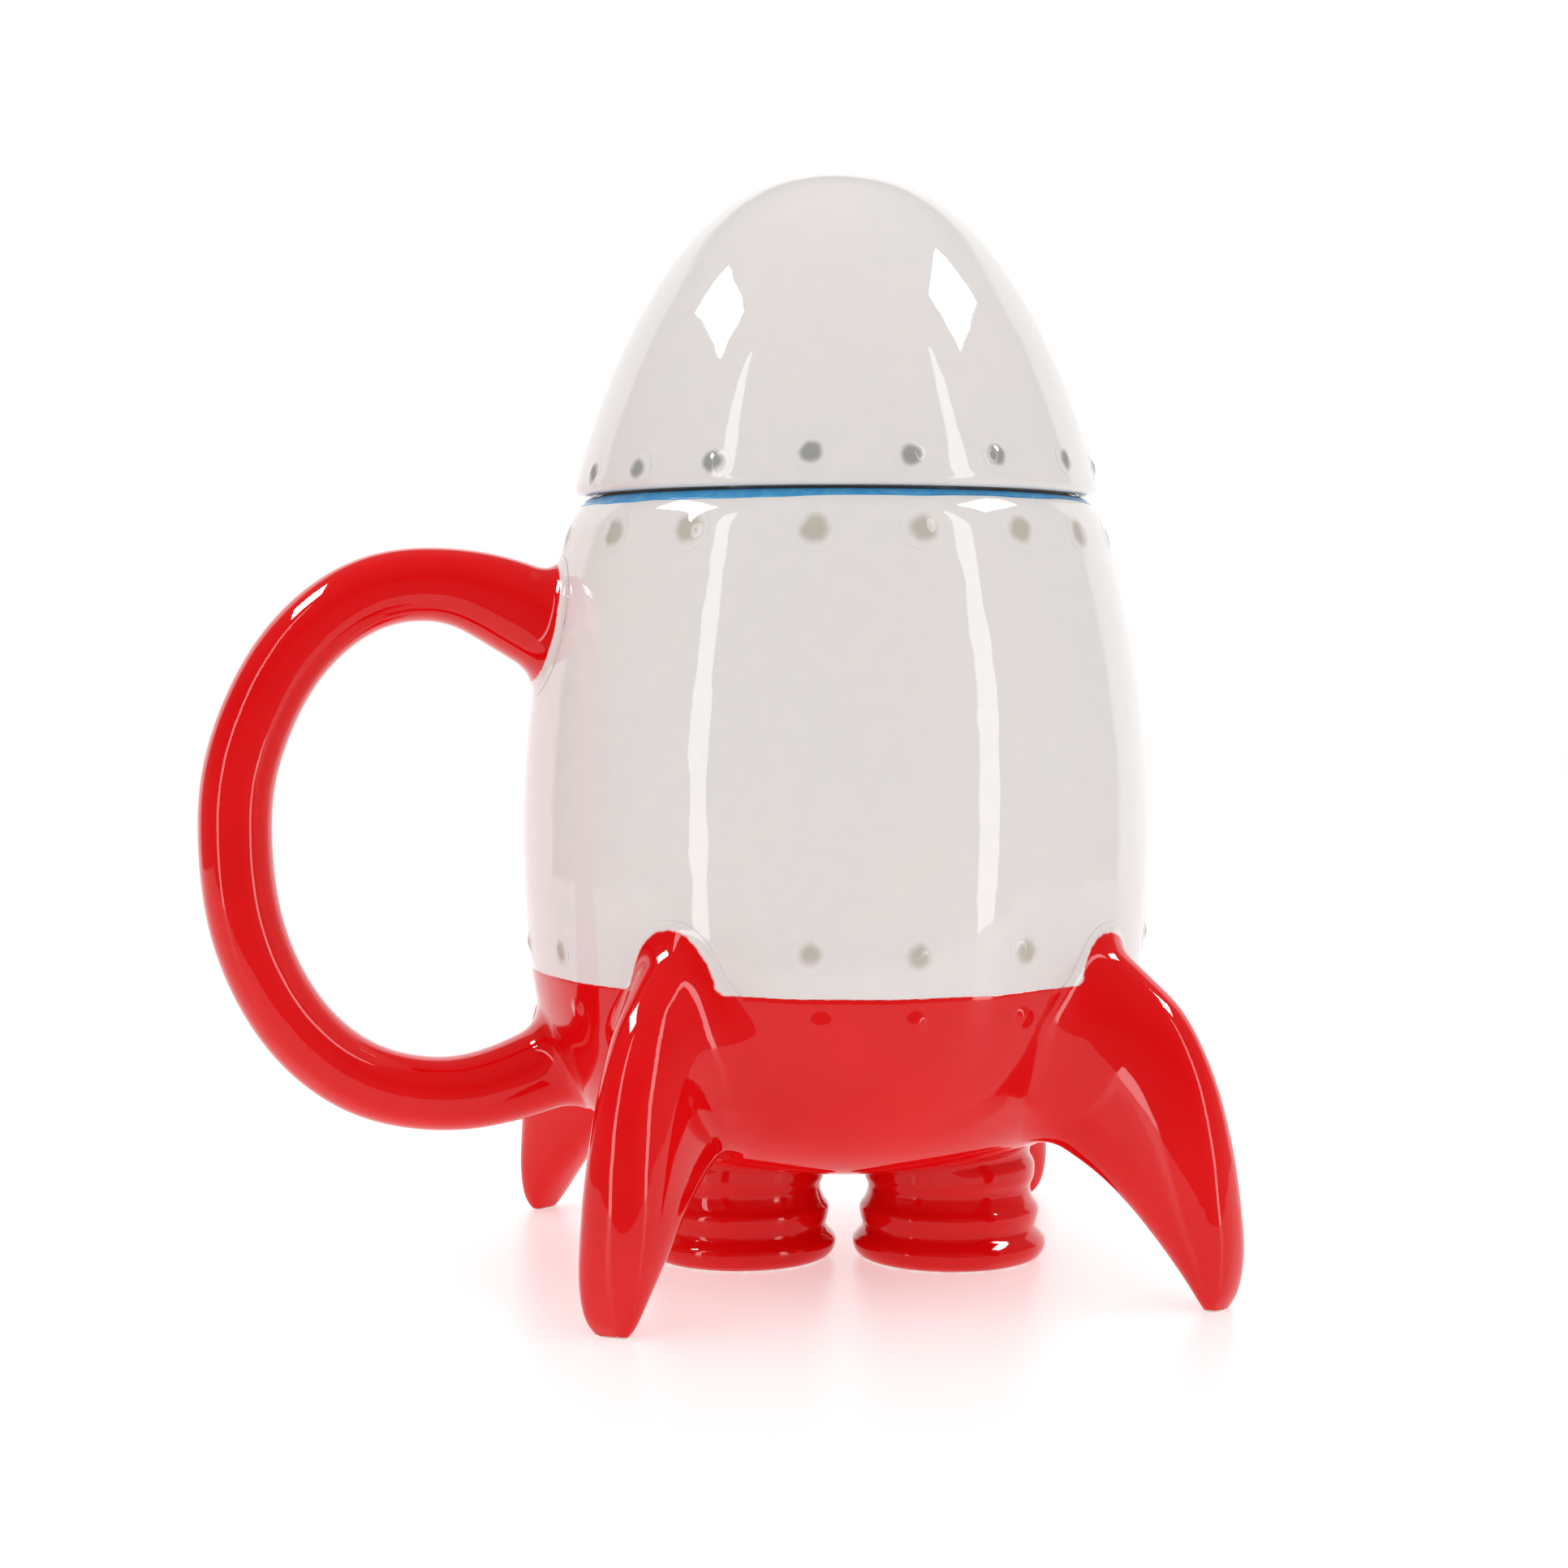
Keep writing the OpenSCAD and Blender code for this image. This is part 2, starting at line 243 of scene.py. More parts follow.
def lid_ovoid(from_z, inside):
    """The ovoid from height from_z up to its top, for a surface that far inside it."""
    height = LID_TOP_Z - LID_FOOT_Z - inside
    first = math.asin(((from_z - LID_FOOT_Z) / height) ** (LID_RISE / 2))
    turn = np.linspace(first, np.pi / 2, 400)
    return np.stack([(LID_R - inside) * np.cos(turn).clip(0) ** (2 / LID_SWELL),
                     LID_FOOT_Z + height * np.sin(turn) ** (2 / LID_RISE)], 1)


def lid_outline():
    """The lid's outside, from under its rounded lip up to the top."""
    lean_z = LIP_Z + LIP_ROUND * (1 + math.sin(LIP_LEAN))
    lip_r = lid_radius(lean_z) - LIP_ROUND * math.cos(LIP_LEAN)
    lip = arc((lip_r, LIP_Z + LIP_ROUND), LIP_ROUND, -np.pi / 2, LIP_LEAN, 40)
    return np.concatenate([lip, lid_ovoid(lean_z, 0)[1:]])


class Profile:
    """An outline by its length s: radius, height and outward direction at any s."""

    def __init__(self, line):
        self.line = evenly(line, 0.2)
        run = np.gradient(self.line, axis=0)
        run /= np.linalg.norm(run, axis=1)[:, None]
        self.out = eased(np.stack([run[:, 1], -run[:, 0]], 1), 4)
        self.s = np.linspace(0, 1, len(self.line)) * self.length(line)

    @staticmethod
    def length(line):
        return np.linalg.norm(np.diff(line, axis=0), axis=1).sum()

    def at(self, s, out=0.0):
        """Radius and height at length s, that far outside the surface, and its direction."""
        r, z = (np.interp(s, self.s, self.line[:, i]) for i in (0, 1))
        nr, nz = (np.interp(s, self.s, self.out[:, i]) for i in (0, 1))
        return r + out * nr, z + out * nz, nr, nz

    def s_at_height(self, z):
        """The length at which the outline climbs through height z."""
        rising = self.line[:, 1] < self.line[:, 1].max() - 1e-6
        return np.interp(z, self.line[rising, 1], self.s[rising])


cup_profile = Profile(cup_outline())
lid_profile = Profile(lid_outline())


def red_line_z(turn):
    """Height of the brushed top edge of the red glaze."""
    return RED_Z + 0.35 * wave(turn, 11, 1, 9) + 0.08 * wave(turn, 12, 17, 14)


def blue_line_z(turn):
    """Height of the brushed lower edge of the blue band, which dips on the handle's side."""
    dip = 0.45 * smooth_step(-0.2, 1, np.cos(turn - math.radians(215)))
    return BLUE_Z - dip + 0.22 * wave(turn, 21, 3, 12) + 0.06 * wave(turn, 22, 24, 14)


# --- Meshes -------------------------------------------------------------------

def new_piece(name, points, faces, normals=None):
    """A smooth mesh object. Points are in mm about the rocket's axis."""
    mesh = bpy.data.meshes.new(name)
    mesh.from_pydata(((points + [AXIS_X, 0, 0]) * MM).tolist(), [], faces)
    mesh.polygons.foreach_set("use_smooth", [True] * len(mesh.polygons))
    mesh.update()
    if normals is not None:
        mesh.normals_split_custom_set_from_vertices(normals.tolist())
    piece = bpy.data.objects.new(name, mesh)
    bpy.context.scene.collection.objects.link(piece)
    return piece


def set_attribute(piece, name, values):
    attribute = piece.data.attributes.new(name, "FLOAT", "POINT")
    attribute.data.foreach_set("value", np.asarray(values, np.float32))


def ring_faces(rings, around):
    """Quads between rings of points, each ring closed."""
    i, j = np.meshgrid(np.arange(rings - 1), np.arange(around), indexing="ij")
    k = (j + 1) % around
    quads = np.stack([i * around + j, i * around + k, (i + 1) * around + k, (i + 1) * around + j], -1)
    return quads.reshape(-1, 4)


def turned_rings(outlines, around):
    """An outline's points turned round the axis, ring by ring. outlines is one outline,
    or one for each angle, as radius and height."""
    outlines = np.broadcast_to(outlines, (around, *np.shape(outlines)[-2:]))
    turn = np.linspace(0, 2 * np.pi, around, endpoint=False)[:, None]
    r, z = outlines[..., 0], outlines[..., 1]
    return np.stack([r * np.cos(turn), r * np.sin(turn), z], -1).transpose(1, 0, 2)


def turned(name, outlines, around):
    """A closed mesh from an outline that runs from the axis back to the axis."""
    rings = turned_rings(outlines, around)
    first, last = rings[0, :1], rings[-1, :1]
    points = np.concatenate([rings[1:-1].reshape(-1, 3), first, last])
    faces = ring_faces(len(rings) - 2, around).tolist()
    start, end = len(points) - 2, len(points) - 1
    top = (len(rings) - 3) * around
    for j in range(around):
        k = (j + 1) % around
        faces.append((start, k, j))
        faces.append((end, top + j, top + k))
    return new_piece(name, points, faces)


def turned_ring(name, outlines, around):
    """The same for a closed outline that stays clear of the axis."""
    rings = turned_rings(outlines, around)
    rings = np.concatenate([rings, rings[:1]])
    faces = ring_faces(len(rings), around) % ((len(rings) - 1) * around)
    return new_piece(name, rings[:-1].reshape(-1, 3), faces.tolist())


# --- Lathe-turned pieces ------------------------------------------------------

def make_cup():
    outside = evenly(cup_outline(), 0.8)
    inside = evenly(cup_inside(), 1.1)
    return turned("cup_body_glazed", np.concatenate([outside, inside[1:]]), 192)


def skin_outline(s_from, s_to, steps, buried=0.3, bead=0.12):
    """A thin coat along the cup's outline that thins out at its ends, with its back in the clay."""
    share = np.linspace(0, 1, steps)
    s = s_from + (s_to - s_from) * share
    s = np.concatenate([[s[0], s[0] + bead], s[1:-1], [s[-1] - bead, s[-1]]])
    out = np.full(len(s), COAT)
    out[[0, -1]] = 0
    front = np.stack(cup_profile.at(s, out)[:2], 1)
    back = np.stack(cup_profile.at(s, -buried)[:2], 1)
    return front, back


def make_base_coat():
    """The red glaze on the bowl, up to its brushed edge."""
    around = 360
    turn = np.linspace(0, 2 * np.pi, around, endpoint=False)
    tops = cup_profile.s_at_height(red_line_z(turn))
    outlines = []
    for top in tops:
        front, back = skin_outline(0, top, 70)
        outlines.append(np.concatenate([front, back[::-1]]))
    outlines = np.array(outlines)
    outlines[:, [0, -1], 0] = 0
    outlines[:, 0, 1] = BOWL_Z - COAT
    outlines[:, -1, 1] = BOWL_Z + 0.3
    piece = turned("base_coat_glazed", outlines, around)
    points = [v.co for v in piece.data.vertices]
    below = [p.z / MM - red_line_z(math.atan2(p.y, p.x - AXIS_X * MM)) for p in points]
    set_attribute(piece, "paint", np.clip(below, ALL_PAINT, 0))
    return piece


def make_rim_band():
    """The blue glaze brushed round the rim's shoulder."""
    around = 480
    turn = np.linspace(0, 2 * np.pi, around, endpoint=False)
    lows = cup_profile.s_at_height(blue_line_z(turn))
    highs = cup_profile.s[-1] - 0.5 + 0.2 * wave(turn, 23, 3, 10)
    outlines = []
    for low, high in zip(lows, highs):
        front, back = skin_outline(low, high, 18)
        outlines.append(np.concatenate([front, back[::-1]]))
    return turned_ring("rim_band_glazed", np.array(outlines), around)


def make_lid():
    outside = evenly(lid_outline(), 0.7)
    hollow_z = COLLAR_TOP_Z + 1.5
    inside = evenly(lid_ovoid(hollow_z, LID_WALL)[::-1], 1.0)
    seat = evenly(np.array([inside[-1], (COLLAR_R + 0.05, COLLAR_TOP_Z), (COLLAR_R + 0.05, LIP_Z),
                            outside[0]]), 0.7)
    outline = np.concatenate([inside, eased(seat, 2)[1:-1], outside])
    return turned("lid_dome_glazed", outline, 192)


def make_collar():
    inner_r, corner = COLLAR_R - COLLAR_WALL, 1.0
    outline = np.concatenate([
        arc((inner_r + corner, COLLAR_LOW_Z + corner), corner, np.pi, 1.5 * np.pi, 8),
        arc((COLLAR_R - corner, COLLAR_LOW_Z + corner), corner, 1.5 * np.pi, 2 * np.pi, 8),
        [(COLLAR_R, COLLAR_TOP_Z - 3), (COLLAR_R, COLLAR_TOP_Z), (inner_r, COLLAR_TOP_Z)]])
    return turned_ring("lid_collar_glazed", outline, 192)


# --- Distance fields ----------------------------------------------------------

TABLE_STEP = 0.3
TABLE_LOW = np.array([-2.0, -8.0])


def make_cup_table():
    """Height above the cup's outside over a half plane, with its slopes."""
    line = evenly(np.concatenate([cup_outline()[:-1], [(0, RIM_Z)]]), 0.3)
    r = np.arange(TABLE_LOW[0], 104, TABLE_STEP)
    z = np.arange(TABLE_LOW[1], 118, TABLE_STEP)
    height = np.empty((len(r), len(z)))
    run = np.gradient(line, axis=0)
    run /= np.linalg.norm(run, axis=1)[:, None]
    for i, radius in enumerate(r):
        places = np.stack([np.full(len(z), abs(radius)), z], 1)
        nearest = ((places[:, None] - line) ** 2).sum(-1).argmin(1)
        gap = places - line[nearest]
        side = run[nearest, 1] * gap[:, 0] - run[nearest, 0] * gap[:, 1]
        forward = (gap * run[nearest]).sum(1).clip(-0.15, 0.15)
        height[i] = np.sign(side) * np.sqrt(np.maximum((gap**2).sum(1) - forward**2, 0))
    slope_r, slope_z = np.gradient(height, TABLE_STEP)
    return np.stack([height, slope_r, slope_z], -1)


cup_table = make_cup_table()


def above_cup(points):
    """Height of points above the cup's outside, and the cup's direction there."""
    r = np.hypot(points[..., 0], points[..., 1])
    at = (np.stack([r, points[..., 2]], -1) - TABLE_LOW) / TABLE_STEP
    cell = np.clip(np.floor(at).astype(int), 0, np.array(cup_table.shape[:2]) - 2)
    u, v = np.moveaxis(at - cell, -1, 0)[..., None]
    i, j = np.moveaxis(cell, -1, 0)
    value = ((1 - u) * ((1 - v) * cup_table[i, j] + v * cup_table[i, j + 1])
             + u * ((1 - v) * cup_table[i + 1, j] + v * cup_table[i + 1, j + 1]))
    r = np.maximum(r, 1e-6)
    out = np.stack([value[..., 1] * points[..., 0] / r, value[..., 1] * points[..., 1] / r,
                    value[..., 2]], -1)
    return value[..., 0], out


class Grid:
    """Values at points that are step apart, read between them by a cubic B-spline."""

    def __init__(self, low, high, step):
        self.low, self.step = np.array(low), step
        self.counts = np.ceil((np.array(high) - self.low) / step).astype(int) + 1

    def places(self):
        axes = [self.low[i] + self.step * np.arange(self.counts[i]) for i in range(3)]
        return np.stack(np.meshgrid(*axes, indexing="ij"), -1)

    def distance_to(self, points, quads, reach):
        """Signed distance to a closed mesh, true up to reach."""
        lattice = openvdb.createLinearTransform(voxelSize=self.step)
        shell = openvdb.FloatGrid.createLevelSetFromPolygons(
            (points - self.low).astype(np.float32), quads=quads.astype(np.uint32),
            transform=lattice, halfWidth=reach / self.step)
        values = np.zeros(self.counts, np.float32)
        shell.copyToArray(values)
        return values

    def read(self, values, points):
        """Value and slope of a field at any points."""
        at = np.clip((points - self.low) / self.step, 1.001, self.counts - 2.001)
        cell = np.floor(at).astype(int)
        u = at - cell
        weight = np.stack([(1 - u) ** 3, 3 * u**3 - 6 * u**2 + 4,
                           -3 * u**3 + 3 * u**2 + 3 * u + 1, u**3]) / 6
        lean = np.stack([-(1 - u) ** 2, 3 * u**2 - 4 * u, -3 * u**2 + 2 * u + 1, u**2]) / 2
        lean /= self.step
        total, slope = np.zeros(len(points)), np.zeros((len(points), 3))
        for i, j, k in np.ndindex(4, 4, 4):
            here = values[cell[:, 0] + i - 1, cell[:, 1] + j - 1, cell[:, 2] + k - 1]
            wx, wy, wz = weight[i, :, 0], weight[j, :, 1], weight[k, :, 2]
            total += here * wx * wy * wz
            slope[:, 0] += here * lean[i, :, 0] * wy * wz
            slope[:, 1] += here * wx * lean[j, :, 1] * wz
            slope[:, 2] += here * wx * wy * lean[k, :, 2]
        return total, slope

    def surface(self, values):
        """Points and quads where the field is zero, moved onto it exactly, with directions."""
        volume = openvdb.FloatGrid(background=float(values.max()))
        volume.copyFromArray(values.astype(np.float32))
        points, quads = volume.convertToQuads(isovalue=0)
        inner = ((points > 3) & (points < self.counts - 4)).all(1)
        quads = quads[inner[quads].all(1)].astype(int)
        points = self.low + self.step * points.astype(float)
        for _ in range(4):
            value, slope = self.read(values, points)
            points = points - (value / (slope**2).sum(1).clip(1e-3))[:, None] * slope
        _, slope = self.read(values, points)
        return points, quads, slope / np.linalg.norm(slope, axis=1)[:, None]


def clipped(points, triangles, height, floor):
    """The part of a mesh that is higher than floor, cut along that contour.
    Gives the points' sources as (first, second, share), the faces, and the contour's edges."""
    inside = height > floor
    count = inside[triangles].sum(1)
    cuts = []
    for kept in (1, 2):
        cut = triangles[count == kept]
        first = (inside[cut] == (kept == 1)).argmax(1)
        cuts.append(np.take_along_axis(cut, (first[:, None] + np.arange(3)) % 3, 1))
    pairs = np.concatenate([np.concatenate([c[:, [0, 1]], c[:, [0, 2]]]) for c in cuts])
    edges, which = np.unique(np.sort(pairs, 1), axis=0, return_inverse=True)
    which = which.reshape(-1)
    share = (floor - height[edges[:, 0]]) / (height[edges[:, 1]] - height[edges[:, 0]])
    n, ones = len(points), len(cuts[0])
    twos = len(cuts[1])
    one_b, one_c = which[:ones] + n, which[ones:2 * ones] + n
    two_b, two_c = which[2 * ones:2 * ones + twos] + n, which[2 * ones + twos:] + n
    faces = triangles[count == 3].tolist()
    faces += np.stack([cuts[0][:, 0], one_b, one_c], 1).tolist()
    faces += np.stack([two_b, cuts[1][:, 1], cuts[1][:, 2], two_c], 1).tolist()
    contour = np.concatenate([np.stack([one_c, one_b], 1), np.stack([two_b, two_c], 1)])
    return edges, share, faces, contour


def into_clay(directions, depth):
    """Points under the cup's outside by depth, out from the cup's heart along directions."""
    heart = np.array([0, 0, BELLY_Z])
    near, far = np.zeros(len(directions)), np.full(len(directions), 90.0)
    for _ in range(40):
        middle = (near + far) / 2
        low = above_cup(heart + directions * middle[:, None])[0] < -depth
        near, far = np.where(low, middle, near), np.where(low, far, middle)
    return heart + directions * near[:, None]


def root_cap(rim, contour, depth):
    """Closes a luted part inside the clay: points, faces, and the cap point under each rim point."""
    heart = np.array([0, 0, BELLY_Z])
    rays = rim - heart
    rays /= np.linalg.norm(rays, axis=1)[:, None]
    forward = rays.mean(0) / np.linalg.norm(rays.mean(0))
    side = np.cross(forward, [0, 0, 1.0])
    side /= np.linalg.norm(side)
    up = np.cross(side, forward)
    flat = np.stack([rays @ side, rays @ up], 1) / (rays @ forward)[:, None]
    low, high = flat.min(0), flat.max(0)
    x, y = np.meshgrid(*[np.arange(low[i] + 0.03, high[i] - 0.01, 0.05) for i in (0, 1)])
    grid = np.stack([x.ravel(), y.ravel()], 1)
    clear = ((grid[:, None] - flat) ** 2).sum(-1).min(1) > 0.02**2
    inputs = np.concatenate([flat, grid[clear]])
    spots, _, faces, sources, _, _ = delaunay_2d_cdt(
        [Vector(p) for p in inputs], contour.tolist(), [], 1, 1e-9)
    spots = np.array([(p.x, p.y) for p in spots])
    rays = spots[:, :1] * side + spots[:, 1:] * up + forward
    rays /= np.linalg.norm(rays, axis=1)[:, None]
    under = {source: i for i, group in enumerate(sources) for source in group}
    return into_clay(rays, depth), faces, [under[i] for i in range(len(rim))]


def luted_piece(name, points, quads, blend, step, paint):
    """A part blended into the cup's outside: only what stands clear of the cup, closed
    by a cap inside the clay. blend(z) is the blend's reach at height z, in mm, and
    paint(points, distance) is the distance to the painted edge, negative in the paint."""
    reach = 14.0
    margin = 11.0
    grid = Grid(points.min(0) - margin, points.max(0) + margin, step)
    places = grid.places()
    cup = above_cup(places)[0]
    part = grid.distance_to(points, quads, reach)
    near = blend(places[..., 2])
    overlap = np.maximum(near - np.abs(cup - part), 0) / near
    field = np.minimum(cup, part) - near / 4 * overlap**2
    skin, faces, out = grid.surface(field)
    height, cup_out = above_cup(skin)
    triangles = np.concatenate([faces[:, [0, 1, 2]], faces[:, [0, 2, 3]]])
    floor = COAT + 0.01
    edges, share, faces, contour = clipped(skin, triangles, height, floor)

    def spread(values):
        first, second = values[edges[:, 0]], values[edges[:, 1]]
        mix = share.reshape(-1, *[1] * (values.ndim - 1))
        return np.concatenate([values, first + (second - first) * mix])

    count = len(skin)
    skin, out, cup_out, height = (spread(v) for v in (skin, out, cup_out, height))
    settle = smooth_step(floor, floor + 0.3, height)[:, None]
    out = cup_out * (1 - settle) + out * settle
    out /= np.linalg.norm(out, axis=1)[:, None]
    distance = grid.read(part, skin)[0]
    painted = paint(skin, distance)

    cap, cap_faces, under = root_cap(skin[count:], contour - count, ROOT_DEPTH)
    base = len(skin)
    under = np.array(under) + base
    faces += [tuple(v + base for v in face) for face in cap_faces]
    faces += [(a, b, under[b - count], under[a - count]) for a, b in contour.tolist()]
    skin = np.concatenate([skin, cap])
    skin[:, 2] = np.maximum(skin[:, 2], 0)
    out = np.concatenate([out, np.tile([0, 0, 1.0], (len(cap), 1))])
    painted = np.concatenate([painted, np.full(len(cap), ALL_PAINT)])

    used = np.unique(np.concatenate([np.ravel(f) for f in faces]))
    renumber = np.full(len(skin), -1)
    renumber[used] = np.arange(len(used))
    faces = [tuple(renumber[list(f)].tolist()) for f in faces]
    piece = new_piece(name, skin[used], faces, out[used])
    set_attribute(piece, "paint", painted[used])
    return piece


def capped_tube(rings, start, end):
    """A closed tube through rings of points, with a point in the middle of each end."""
    count, around = rings.shape[:2]
    points = np.concatenate([rings.reshape(-1, 3), [start], [end]])
    start, end, last = count * around, count * around + 1, (count - 1) * around
    pairs = np.arange(0, around, 2)
    one, two = pairs + 1, (pairs + 2) % around
    quads = np.concatenate([
        ring_faces(count, around),
        np.stack([np.full(len(pairs), start), two, one, pairs], 1),
        np.stack([np.full(len(pairs), end), last + pairs, last + one, last + two], 1)])
    return points, quads


def swept(middle, p, q, half_p, half_q, fullness, around=64):
    """A closed tube of rounded sections with half sizes along the directions p and q."""
    turn = np.linspace(0, 2 * np.pi, around, endpoint=False)
    x, y = np.cos(turn), np.sin(turn)
    x = (np.sign(x) * np.abs(x) ** (2 / fullness))[None, :, None]
    y = (np.sign(y) * np.abs(y) ** (2 / fullness))[None, :, None]
    rings = (middle[:, None] + p[:, None] * half_p[:, None, None] * x
             + q * half_q[:, None, None] * y)
    return capped_tube(rings, middle[0], middle[-1])


def moved_edge(edge, reach, drop):
    """A fin's edge moved outward, more and more towards its foot, and lowered at its top."""
    edge = np.array(edge, float)
    edge[:, 0] += reach * np.clip((54 - edge[:, 1]) / 45, 0, 1)
    edge[:, 1] -= drop * smooth_step(40, 53, edge[:, 1])
    return edge


def make_fin(name, angle, reach, drop, seed):
    rng = np.random.default_rng(seed)
    t = np.linspace(0, len(FIN_OUTER) - 1, 240)
    outer = eased(along(moved_edge(FIN_OUTER, reach, drop), t), 60)
    inner = eased(along(moved_edge(FIN_INNER, 0.7 * reach, drop), t), 60)
    half_w = eased(along(FIN_HALF_W, t), 40)
    sway = 0.25 * np.sin(t * 0.9 + rng.uniform(0, 6)) * smooth_step(0, 2, t)
    half_w = half_w * (1 + 0.02 * np.sin(t * 1.7 + rng.uniform(0, 6)))
    middle, chord = (outer + inner) / 2, outer - inner
    half_chord = np.linalg.norm(chord, axis=1) / 2
    chord /= 2 * half_chord[:, None]
    middle = np.stack([middle[:, 0], sway, middle[:, 1]], 1)
    p = np.stack([chord[:, 0], 0 * sway, chord[:, 1]], 1)
    points, quads = swept(middle, p, np.array([0, 1.0, 0]), half_chord, half_w, 2.35)
    turn = math.radians(angle)
    spin = np.array([[math.cos(turn), math.sin(turn), 0], [-math.sin(turn), math.cos(turn), 0],
                     [0, 0, 1]])

    def blend(z):
        return 3.0 + 5.5 * smooth_step(47, 36, z) - 3.8 * smooth_step(29, 21, z)

    def paint(places, distance):
        here = np.arctan2(places[:, 1], places[:, 0])
        margin = 1.3 + 0.4 * wave(here * 3, seed + 5, 2, 9)
        round_fin = distance - margin
        below = places[:, 2] - red_line_z(here)
        overlap = np.maximum(1.2 - np.abs(below - round_fin), 0) / 1.2
        return np.minimum(below, round_fin) - 0.3 * overlap**2

    return luted_piece(name, points @ spin, quads, blend, 0.5, paint)


def make_handle():
    t = np.linspace(0, len(HANDLE_LINE) - 1, 420)
    line = eased(along(HANDLE_LINE, t), 160)
    run = np.gradient(line, axis=0)
    run /= np.linalg.norm(run, axis=1)[:, None]
    half_t, half_w = (eased(along(sizes, t), 60) for sizes in (HANDLE_HALF_T, HANDLE_HALF_W))
    middle = np.stack([-line[:, 0], 0 * t, line[:, 1]], 1)
    p = np.stack([run[:, 1], 0 * t, run[:, 0]], 1)
    points, quads = swept(middle, p, np.array([0, 1.0, 0]), half_t, half_w, 2.2)

    def blend(z):
        return 3.6 + 0 * z

    def paint(places, distance):
        here = np.arctan2(places[:, 2] - HANDLE_ROOT_Z, places[:, 1])
        edge = distance - 1.3 - 0.25 * wave(here, 41, 2, 9)
        return np.where(places[:, 2] > HANDLE_MIDDLE_Z, edge, ALL_PAINT)

    return luted_piece("handle_glazed", points, quads, blend, 0.5, paint)


def make_nozzle(name, distance, angle):
    t = np.linspace(0, len(NOZZLE_LINE) - 1, 400)
    line = eased(along(NOZZLE_LINE, t), 14)
    line = evenly(line, 0.25)
    line[:, 1] = np.maximum(line[:, 1], 0)
    line[:, 0] = np.maximum(line[:, 0], 0.01)
    points, quads = capped_tube(turned_rings(line, 96), (0, 0, line[0, 1]), (0, 0, line[-1, 1]))
    quads = quads[:, ::-1]
    angle = math.radians(angle)
    points = points + [distance * math.cos(angle), distance * math.sin(angle), 0]

    def blend(z):
        return 2.2 + 0 * z

    def paint(places, distance):
        return np.full(len(places), ALL_PAINT)

    return luted_piece(name, points, quads, blend, 0.36, paint)


# --- Raised dots --------------------------------------------------------------

def dot_patch(profile, turn, z, lift, width, rise, paint_r, rng):
    """One dot: a soft bump on a disc that follows the surface, with its back in the clay.
    Gives points, faces, directions and the distance to the painted blob's edge."""
    around, edge = 40, 1.75 * width / 2
    radii = np.concatenate([[0], np.linspace(0.12, 1, 15) * edge])
    phi = np.linspace(0, 2 * np.pi, around, endpoint=False)
    rho, phi = np.meshgrid(radii[1:], phi, indexing="ij")
    rho, phi = np.append(rho.ravel(), 0), np.append(phi.ravel(), 0)
    s = profile.s_at_height(z) + rho * np.sin(phi)
    r0 = profile.at(profile.s_at_height(z))[0]
    angle = turn + rho * np.cos(phi) / r0
    bump = rise * np.cos(np.pi / 2 * rho / edge) ** 4
    fall = -rise * 4 * np.cos(np.pi / 2 * rho / edge) ** 3 * np.sin(np.pi / 2 * rho / edge)
    fall *= np.pi / 2 / edge

    def lay(out):
        r, z, nr, nz = profile.at(s, out)
        place = np.stack([r * np.cos(angle), r * np.sin(angle), z], 1)
        face = np.stack([nr * np.cos(angle), nr * np.sin(angle), nz], 1)
        east = np.stack([-np.sin(angle), np.cos(angle), 0 * angle], 1)
        return place, face, east, np.cross(face, east)

    front, face, east, north = lay(lift + 0.012 + bump)
    out = face - fall[:, None] * (np.cos(phi)[:, None] * east + np.sin(phi)[:, None] * north)
    out /= np.linalg.norm(out, axis=1)[:, None]
    back = lay(-DOT_DEPTH)[0]
    lobes = 1 + 0.06 * wave(phi, rng.integers(1 << 30), 1, 4)
    lobes += 0.03 * wave(phi, rng.integers(1 << 30), 3, 5)
    shift = rng.normal(0, 0.16, 2)
    from_blob = np.hypot(rho * np.cos(phi) - shift[0], rho * np.sin(phi) - shift[1])
    painted = from_blob - paint_r * rng.uniform(0.93, 1.07) * lobes
    rings = len(radii) - 1
    n, centre, outer = len(front), len(front) - 1, (rings - 1) * around
    quads = ring_faces(rings, around)
    faces = quads[:, ::-1].tolist() + (quads + n).tolist()
    for j in range(around):
        k = (j + 1) % around
        faces.append((centre, j, k))
        faces.append((centre + n, k + n, j + n))
        faces.append((outer + k, outer + j, outer + j + n, outer + k + n))
    return (np.concatenate([front, back]), faces, np.concatenate([out, -face]),
            np.concatenate([painted, painted]))


def make_dots(name, profile, z, angles, seed, lift=0.0, width=2.9, rise=0.5, paint_r=1.4, sag=0.0):
    """A row of dots, each set a little by hand. The row sags by the handle's root."""
    rng = np.random.default_rng(seed)
    points, faces, normals, painted = [], [], [], []
    base = 0
    for angle in angles:
        turn = math.radians(angle)
        low = sag * smooth_step(0.75, 0.92, math.cos(turn - math.radians(207)))
        here_z = z - low + rng.normal(0, 0.15)
        part = dot_patch(profile, turn, here_z, lift, width, rise, paint_r, rng)
        points.append(part[0])
        faces += [tuple(v + base for v in face) for face in part[1]]
        normals.append(part[2])
        painted.append(part[3])
        base += len(part[0])
    piece = new_piece(name, np.concatenate(points), faces, np.concatenate(normals))
    set_attribute(piece, "paint", np.concatenate(painted))
    return piece


# --- Materials ----------------------------------------------------------------

def add(tree, kind, inputs=(), **settings):
    """Adds a shader node, and sets or links its inputs."""
    made = tree.nodes.new(kind)
    for name, value in settings.items():
        setattr(made, name, value)
    for key, value in dict(inputs).items():
        if isinstance(value, bpy.types.NodeSocket):
            tree.links.new(value, made.inputs[key])
        else:
            made.inputs[key].default_value = value
    return made


